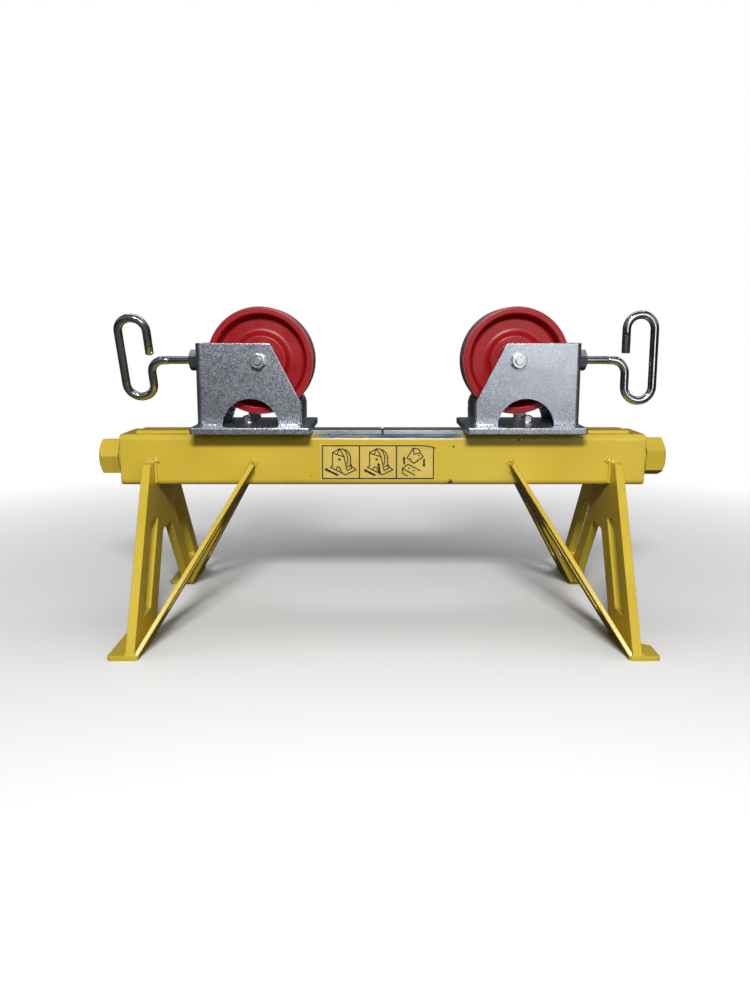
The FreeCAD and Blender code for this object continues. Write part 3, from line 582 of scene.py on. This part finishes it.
def add_bead(shape, corners, radius, chance, ripple=0.0026):
    """One rippled bead along a path, with small rounded ends."""
    points = stepped(corners, ripple / 2)
    heading = (points[1] - points[0]).normalized()
    size = BEAD_END
    edges = first_ring(shape, radius * size, points[0], heading)
    for index in range(1, len(points)):
        left = len(points) - 1 - index
        wanted = 1.0 if index % 2 else BEAD_VALLEY
        wanted *= chance.uniform(0.93, 1.05)
        if left == 0:
            wanted = BEAD_END
        move = points[index] - points[index - 1]
        new_heading = move.normalized()
        turn = heading.rotation_difference(new_heading).to_matrix()
        edges = grow_ring(shape, edges, points[index - 1], move, wanted / size, turn)
        size, heading = wanted, new_heading
    bmesh.ops.edgeloop_fill(shape, edges=edges)


# %% Turn a finished shape into a piece
def finish_piece(name, shape, body, finish, smooth=40.0, nodes=()):
    """Make an object of a bmesh, smooth it up to an angle, and hand it to its body."""
    bmesh.ops.recalc_face_normals(shape, faces=shape.faces)
    data = bpy.data.meshes.new(name)
    shape.to_mesh(data)
    shape.free()
    data.shade_smooth()
    data.set_sharp_from_angle(angle=math.radians(smooth))
    data.materials.append(finish)
    piece = bpy.data.objects.new(name, data)
    bpy.context.scene.collection.objects.link(piece)
    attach(piece, body)
    if nodes:
        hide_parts(*nodes)
    print(name, len(data.polygons), "faces on", body)


# %% [markdown]
# ### Where the beads go
# Each A-frame and brace is welded to both side faces of the beam in one pass that goes up one side
# of the plate, over its top corner and down the other, with a lump of tack weld on top, and along
# the underside of the beam. The legs are welded to the feet, and each rail bar at its outer end.
# The plates lean, so their middles come from their boxes.

# %% Stand welds
beam_low, beam_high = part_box("beam_tube")
foot_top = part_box("front_left_foot")[1].z


def middle_x(node, side, leans_out, half_low, half_high, top_z):
    """Function that gives the x of a plate's middle at a height."""
    low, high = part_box(node)
    near, far = sorted((abs(low.x), abs(high.x)))
    at_foot, at_top = (near + half_low, far - half_high) if leans_out else (far - half_low, near + half_high)

    def at(z):
        share = (z - foot_top) / (top_z - foot_top)
        return side * (at_foot + (at_top - at_foot) * share)

    return at


def collar(shape, at, half, face_y, out, low_z, high_z, radius, chance):
    """Bead on a side face of the beam: up one side of a plate, over its top and down the other."""
    corners = []
    for sign, z in ((-1, low_z), (-1, high_z), (1, high_z), (1, low_z)):
        corners.append((at(z) + sign * half, face_y + out * radius * 0.1, z))
    add_bead(shape, corners, radius, chance)


FRAME_HALF = 5.0 * MM
FRAME_SEAM = 5.6 * MM
BRACE_NEAR, BRACE_FAR = 2.9 * MM, 2.1 * MM
BRACE_SEAM = 3.4 * MM
FOOT_SEAM = 6.0 * MM
UNDER_BEAM = 2 * MM
TACK_RISE = 2.2 * MM
TACK_REACH = {"frame": (4.5 * MM, 12.0 * MM), "brace": (-3.0 * MM, 4.0 * MM)}

for name, side in SIDES:
    chance = random.Random(11 + side)
    welds = bmesh.new()
    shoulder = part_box(name + "_a_frame")[1].z
    frame_at = middle_x(name + "_a_frame", side, True, FRAME_HALF, FRAME_HALF, shoulder)
    brace_at = middle_x(name + "_brace", side, False, BRACE_NEAR, BRACE_FAR, shoulder)
    low_z = beam_low.z + UNDER_BEAM
    for out, face_y in ((-1, beam_low.y), (1, beam_high.y)):
        collar(welds, frame_at, FRAME_SEAM, face_y, out, low_z, shoulder + 0.6 * MM, 2.3 * MM, chance)
        collar(welds, brace_at, BRACE_SEAM, face_y, out, low_z, shoulder + 0.8 * MM, 2.0 * MM, chance)
        for at, reaches in ((frame_at, TACK_REACH["frame"]), (brace_at, TACK_REACH["brace"])):
            tack = [(at(shoulder) - side * reach, face_y, shoulder + TACK_RISE) for reach in reaches]
            add_bead(welds, tack, 3.4 * MM, chance, ripple=0.004)
        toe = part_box(name + "_a_frame")[1].y - 3 * MM
        heel = toe - 90 * MM
        x_out = frame_at(foot_top) + side * FOOT_SEAM
        add_bead(welds, [(x_out, out * heel, foot_top), (x_out, out * toe, foot_top)], 2.4 * MM, chance)
    for at, half in ((frame_at, FRAME_SEAM), (brace_at, BRACE_SEAM)):
        for sign in (-1, 1):
            x = at(beam_low.z) + sign * half
            span = beam_high.y - 7 * MM
            add_bead(welds, [(x, -span, beam_low.z), (x, span, beam_low.z)], 2.2 * MM, chance)
    rail_low, rail_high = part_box(name + "_rail")
    end = rail_low.x if side < 0 else rail_high.x
    half = rail_high.y - 1 * MM
    add_bead(welds, [(end, -half, rail_low.z), (end, half, rail_low.z)], 2.8 * MM, chance)
    finish_piece(name + "_stand_welds", welds, "stand", finishes["yellow_paint"])

# %% [markdown]
# ### Carriage welds
# The housing stands on its base plate on plated fillets, along both cheeks except under the round
# cutout, along the outer wall and across the inner plate.

# %% Carriage welds
CUTOUT_SHIFT = 10.5 * MM
CUTOUT_REACH = 34.5 * MM

for name, side in SIDES:
    chance = random.Random(31 + side)
    welds = bmesh.new()
    low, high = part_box(name + "_wheel_housing")
    foot = low.z + 0.2 * MM
    wheel_low, wheel_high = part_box(name + "_wheel")
    axle_x = (wheel_low.x + wheel_high.x) / 2
    outer = low.x if side < 0 else high.x
    inner = high.x if side < 0 else low.x
    cut_x = axle_x + side * CUTOUT_SHIFT
    inner_run = (inner + side * 1 * MM, cut_x - side * CUTOUT_REACH)
    outer_run = (cut_x + side * CUTOUT_REACH, outer - side * 6 * MM)
    for y in (low.y, high.y):
        for a, b in (inner_run, outer_run):
            add_bead(welds, [(a, y, foot), (b, y, foot)], 1.7 * MM, chance)
    wide = high.y - 7 * MM
    add_bead(welds, [(outer, -wide, foot), (outer, wide, foot)], 1.9 * MM, chance)
    add_bead(welds, [(inner, -wide, foot), (inner, wide, foot)], 1.9 * MM, chance)
    plate_low, plate_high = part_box(name + "_cross_plate")
    for y in (plate_low.y, plate_high.y):
        add_bead(welds, [(inner, y, foot), (inner, y, plate_high.z - 3 * MM)], 1.3 * MM, chance)
    finish_piece(name + "_carriage_welds", welds, name + "_carriage", finishes["zinc_sheet"])

# %% [markdown]
# ## Brake screws
# Each brake is one bar of round steel. Its straight end has a cut thread that runs through the
# boss; the rest is bent into an open loop for the hand. The thread is a true helix: one pitch of
# its profile, spun round the axis while it moves along. The handle is a ring of points that is
# extruded along the straight runs and spun round the bends.

# %% Thread helper
STEPS_A_TURN = 20


def add_thread(shape, start, crest, root, pitch, turns):
    """Helical thread along +X from a point: one pitch of profile, spun and moved along."""
    heights = [(0.0, root), (0.12, root), (0.44, crest), (0.56, crest), (0.88, root), (1.0, root)]
    verts = [shape.verts.new((start.x + share * pitch, start.y, start.z + r)) for share, r in heights]
    chain = [shape.edges.new(pair) for pair in zip(verts, verts[1:])]
    bmesh.ops.spin(shape, geom=verts + chain, cent=start, axis=(1, 0, 0),
                   dvec=(pitch / STEPS_A_TURN, 0, 0), angle=2 * math.pi * turns,
                   steps=STEPS_A_TURN * turns, use_merge=False)
    bmesh.ops.remove_doubles(shape, verts=shape.verts, dist=0.00002)


def spin_ring(shape, edges, centre, axis, angle, steps):
    """Spin a ring round a bend; returns the edges of the last ring."""
    verts = list({vert for edge in edges for vert in edge.verts})
    made = bmesh.ops.spin(shape, geom=verts + edges, cent=centre, axis=axis, angle=angle, steps=steps,
                          use_merge=False)
    return [item for item in made["geom_last"] if isinstance(item, bmesh.types.BMEdge)]


# %% Brake screw
SCREW = {"reach": 61.5 * MM, "bend": 16 * MM, "loop": 33.5 * MM, "top": 53.5 * MM, "bottom": 48.5 * MM,
         "tip": 8 * MM, "thread": 45.0 * MM, "radius": 5 * MM, "crest": 4.96 * MM, "root": 4.15 * MM,
         "pitch": 1.5 * MM}
RUN_OUT = 1.4 * MM
TIP_CHAMFER = 0.8 * MM
HANDLE_TURN = {"left": 23.0, "right": 0.0}

for name, side in SIDES:
    screw = bmesh.new()
    wheel_low, wheel_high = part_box(name + "_wheel")
    axle = (wheel_low + wheel_high) / 2
    wall = max(abs(v.x - axle.x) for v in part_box(name + "_wheel_housing"))
    pad_back = max(abs(v.x - axle.x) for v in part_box(name + "_brake_pad"))
    r = SCREW["radius"]
    turns = round(SCREW["thread"] / SCREW["pitch"])
    start = Vector((pad_back + 0.3 * MM, 0, 0))
    add_thread(screw, start, SCREW["crest"], SCREW["root"], SCREW["pitch"], turns)
    thread_end = start.x + (turns - 0.6) * SCREW["pitch"]
    inner_leg = wall + SCREW["reach"]
    bend = SCREW["bend"]
    loop = SCREW["loop"] / 2
    right = Vector((1, 0, 0))
    edges = first_ring(screw, SCREW["root"], Vector((thread_end, 0, 0)), right, 24)
    edges = grow_ring(screw, edges, Vector((thread_end, 0, 0)), Vector((RUN_OUT, 0, 0)), r / SCREW["root"])
    straight = inner_leg - bend - thread_end - RUN_OUT
    edges = grow_ring(screw, edges, Vector(), Vector((straight, 0, 0)))
    edges = spin_ring(screw, edges, (inner_leg - bend, 0, -bend), (0, 1, 0), math.pi / 2, 10)
    low_z = -SCREW["bottom"] + loop
    high_z = SCREW["top"] - loop
    edges = grow_ring(screw, edges, Vector(), Vector((0, 0, low_z + bend)))
    edges = spin_ring(screw, edges, (inner_leg + loop, 0, low_z), (0, 1, 0), -math.pi, 18)
    edges = grow_ring(screw, edges, Vector(), Vector((0, 0, high_z - low_z)))
    edges = spin_ring(screw, edges, (inner_leg + loop, 0, high_z), (0, 1, 0), -math.pi, 18)
    tip = Vector((inner_leg, 0, SCREW["tip"]))
    edges = grow_ring(screw, edges, Vector(), Vector((0, 0, tip.z + TIP_CHAMFER - high_z)))
    edges = grow_ring(screw, edges, tip + Vector((0, 0, TIP_CHAMFER)), Vector((0, 0, -TIP_CHAMFER)), 0.86)
    bmesh.ops.edgeloop_fill(screw, edges=edges)
    nose = first_ring(screw, 2.5 * MM, Vector((pad_back - 2.4 * MM, 0, 0)), right, 16)
    nose = grow_ring(screw, nose, Vector(), Vector((3.0 * MM, 0, 0)))
    bmesh.ops.edgeloop_fill(screw, edges=nose)
    bmesh.ops.scale(screw, vec=(side, 1, 1), verts=screw.verts)
    tilt = Matrix.Rotation(math.radians(HANDLE_TURN[name]), 3, "X")
    bmesh.ops.rotate(screw, cent=(0, 0, 0), matrix=tilt, verts=screw.verts)
    bmesh.ops.translate(screw, vec=axle, verts=screw.verts)
    finish_piece(name + "_threaded_brake_screw", screw, name + "_brake_screw_body",
                 finishes["bright_rod"], 50.0, [name + "_brake_screw"])
    screw_low, screw_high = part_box(name + "_brake_screw")
    print(name, "screw box", [round(v, 4) for v in (*screw_low, *screw_high)])

# %% [markdown]
# ## Axle threads
# The last few millimetres of each axle bolt stand out of its nut and show their thread. The solid
# bolt ends there in a thinner core, and a short helix fits round it.

# %% Axle bolt threads
AXLE_PITCH = 1.2 * MM
AXLE_TURNS = 3

for name, side in SIDES:
    thread = bmesh.new()
    nut_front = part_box(name + "_axle_nut")[0].y
    wheel_low, wheel_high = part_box(name + "_wheel")
    axle = (wheel_low + wheel_high) / 2
    add_thread(thread, Vector((0, 0, 0)), 4.95 * MM, 4.15 * MM, AXLE_PITCH, AXLE_TURNS)
    along = Matrix.Rotation(math.radians(90), 3, "Z")
    bmesh.ops.rotate(thread, cent=(0, 0, 0), matrix=along, verts=thread.verts)
    thread_start = nut_front + 0.9 * MM - AXLE_TURNS * AXLE_PITCH
    bmesh.ops.translate(thread, vec=(axle.x, thread_start, axle.z), verts=thread.verts)
    finish_piece(name + "_axle_thread", thread, name + "_carriage",
                 finishes["zinc_fastener"], 50.0)

# %% [markdown]
# ## The label
# A thin printed film sits on the front of the beam, with three plain drawings of how a carriage is
# slid, raised and lifted off. The film is a fine grid, so that its loose top corner can curl. The
# ink is made of thin strokes of real thickness, and the same curl carries them with it.

# %% Film with a curled corner
label_low, label_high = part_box("instruction_label")
CURL_ALONG = 19 * MM
CURL_DOWN = 5.5 * MM
CURL_OUT = 3.4 * MM


def curl(shape):
    """Roll the film's top edge forward near its right-hand end."""
    for vert in shape.verts:
        along = (vert.co.x - label_high.x + CURL_ALONG) / CURL_ALONG
        up = (vert.co.z - label_high.z + CURL_DOWN) / CURL_DOWN
        amount = max(0.0, along) * max(0.0, up)
        vert.co.y -= CURL_OUT * amount ** 1.5
        vert.co.z -= CURL_OUT * amount ** 2


film = bmesh.new()
bmesh.ops.create_grid(film, x_segments=68, y_segments=28, size=0.5)
bmesh.ops.rotate(film, cent=(0, 0, 0), matrix=Matrix.Rotation(math.radians(90), 3, "X"), verts=film.verts)
bmesh.ops.scale(film, vec=(label_high.x - label_low.x, 1, label_high.z - label_low.z), verts=film.verts)
bmesh.ops.translate(film, vec=(label_low + label_high) / 2, verts=film.verts)
for vert in film.verts:
    vert.co.y = label_low.y + 0.1 * MM
curl(film)
bmesh.ops.solidify(film, geom=film.faces[:], thickness=0.16 * MM)
finish_piece("label_film_sheet", film, "stand", finishes["label_film"], 40.0,
             ["instruction_label"])

# %% Ink strokes
INK_WIDTH = 1.4 * MM
DRAWING_WIDTH = 1.25 * MM
INK_FRONT = label_low.y - 0.12 * MM
PANEL = Vector((2.5 * MM, 1.5 * MM))
PANEL_SIZE = Vector(((label_high.x - label_low.x - 5 * MM) / 3, label_high.z - label_low.z - 3 * MM))


def flat_patch(shape, width, height, centre, angle):
    """Small rectangle on the label's plane."""
    verts = bmesh.ops.create_grid(shape, x_segments=1, y_segments=1, size=0.5)["verts"]
    bmesh.ops.scale(shape, vec=(width, height, 1), verts=verts)
    bmesh.ops.rotate(shape, cent=(0, 0, 0), matrix=Matrix.Rotation(angle, 3, "Z"), verts=verts)
    bmesh.ops.translate(shape, vec=(centre.x, centre.y, 0), verts=verts)


def stroke(shape, points, width=INK_WIDTH, closed=False):
    """Line of ink through points in metres, in short pieces that can follow the curl."""
    points = [Vector(p) for p in points]
    if closed:
        points.append(points[0])
    for start, end in zip(points, points[1:]):
        run = end - start
        count = max(1, round(run.length / (3 * MM)))
        angle = math.atan2(run.y, run.x)
        for step in range(count):
            centre = start.lerp(end, (step + 0.5) / count)
            flat_patch(shape, run.length / count + width * 0.6, width, centre, angle)


def arrow(shape, start, end, width):
    """Thick straight arrow."""
    start, end = Vector(start), Vector(end)
    run = end - start
    neck = end - run.normalized() * width * 1.5
    stroke(shape, [start, neck], width)
    across = Vector((-run.y, run.x)).normalized() * width
    corners = [shape.verts.new((p.x, p.y, 0)) for p in (neck + across, neck - across, end)]
    bmesh.ops.contextual_create(shape, geom=corners)


def arc(centre, radius, start, end, steps=9):
    """Points along an arc, in degrees, squashed a little upright as a wheel seen from one side."""
    return [(centre[0] + radius * 0.72 * math.cos(math.radians(start + (end - start) * step / steps)),
             centre[1] + radius * math.sin(math.radians(start + (end - start) * step / steps)))
            for step in range(steps + 1)]


CARRIAGE_LINES = (
    [(12.0, 15.0), (12.0, 31.0), (20.5, 35.5), (25.5, 26.0), (29.0, 9.5)],
    [(12.0, 31.0), (17.0, 28.5), (25.5, 26.0)],
    [(17.0, 28.5), (20.5, 35.5)],
    arc((20.5, 23.0), 13.0, 78, -28), arc((24.0, 22.0), 13.0, 72, -22),
    [(9.5, 13.5), (27.0, 4.5), (39.5, 10.5), (33.5, 15.5)],
    [(9.5, 13.5), (12.0, 15.0)],
    [(29.0, 9.5), (34.0, 12.0), (34.0, 16.5), (29.5, 14.0)],
    [(16.0, 10.4), (17.5, 14.0), (20.5, 13.0), (22.5, 7.4)],
)
LIFTED_LINES = (
    [(12.5, 24.5), (19.5, 36.0), (26.5, 35.0), (28.0, 30.5), (31.5, 26.0), (20.5, 18.0)],
    [(12.5, 24.5), (20.5, 18.0), (31.5, 26.0)],
    [(19.5, 36.0), (20.5, 29.0), (28.0, 30.5)],
    [(7.0, 12.0), (13.5, 17.0), (28.0, 9.5)],
    [(7.0, 12.0), (7.0, 6.5), (13.0, 3.0)],
    [(7.0, 12.0), (22.0, 4.0)],
)
ARROWS = (
    (0, (18.0, 4.0), (2.2, 11.8), 2.4),
    (1, (18.0, 4.0), (5.0, 10.6), 2.4),
    (1, (24.5, 5.5), (22.0, 19.0), 2.2),
    (2, (9.0, 17.5), (9.0, 26.5), 2.0),
    (2, (32.5, 23.0), (32.5, 13.5), 2.0),
)


def panel_points(index, points, shift=(0.0, 0.0)):
    """Points of a drawing, in millimetres in its panel, as points on the label."""
    left = label_low.x + PANEL.x + index * PANEL_SIZE.x
    low = label_low.z + PANEL.y
    return [(left + (x + shift[0]) * MM, low + (z + shift[1]) * MM) for x, z in points]


drawing = bmesh.new()
left, right = label_low.x + PANEL.x, label_high.x - PANEL.x
low, high = label_low.z + PANEL.y, label_high.z - PANEL.y
stroke(drawing, [(left, low), (right, low), (right, high), (left, high)], 1.3 * MM, True)
for index in (1, 2):
    x = left + index * PANEL_SIZE.x
    stroke(drawing, [(x, low), (x, high)])
for index in (0, 1):
    for line in CARRIAGE_LINES:
        stroke(drawing, panel_points(index, line), DRAWING_WIDTH)
    hub = panel_points(index, [(19.5, 22.5)])[0]
    stroke(drawing, [hub, (hub[0] + 1.2 * MM, hub[1] + 0.6 * MM)], 2.4 * MM)
for line in LIFTED_LINES:
    stroke(drawing, panel_points(2, line), DRAWING_WIDTH)
for spot in ((16.0, 24.0), (25.5, 27.5), (14.0, 12.5), (20.0, 9.6)):
    dot = panel_points(2, [spot])[0]
    stroke(drawing, [dot, (dot[0] + 1.4 * MM, dot[1] - 0.5 * MM)], 1.2 * MM)
for index, start, end, width in ARROWS:
    arrow(drawing, *panel_points(index, [start, end]), width * MM)
upright = Matrix.Rotation(math.radians(90), 3, "X")
bmesh.ops.rotate(drawing, cent=(0, 0, 0), matrix=upright, verts=drawing.verts)
for vert in drawing.verts:
    vert.co.y = INK_FRONT
curl(drawing)
bmesh.ops.solidify(drawing, geom=drawing.faces[:], thickness=0.05 * MM)
finish_piece("label_ink_strokes", drawing, "stand", ink, 30.0)

# %% Last lines
print("cad   ", [round(v, 4) for v in (*cad_box[0], *cad_box[1])])
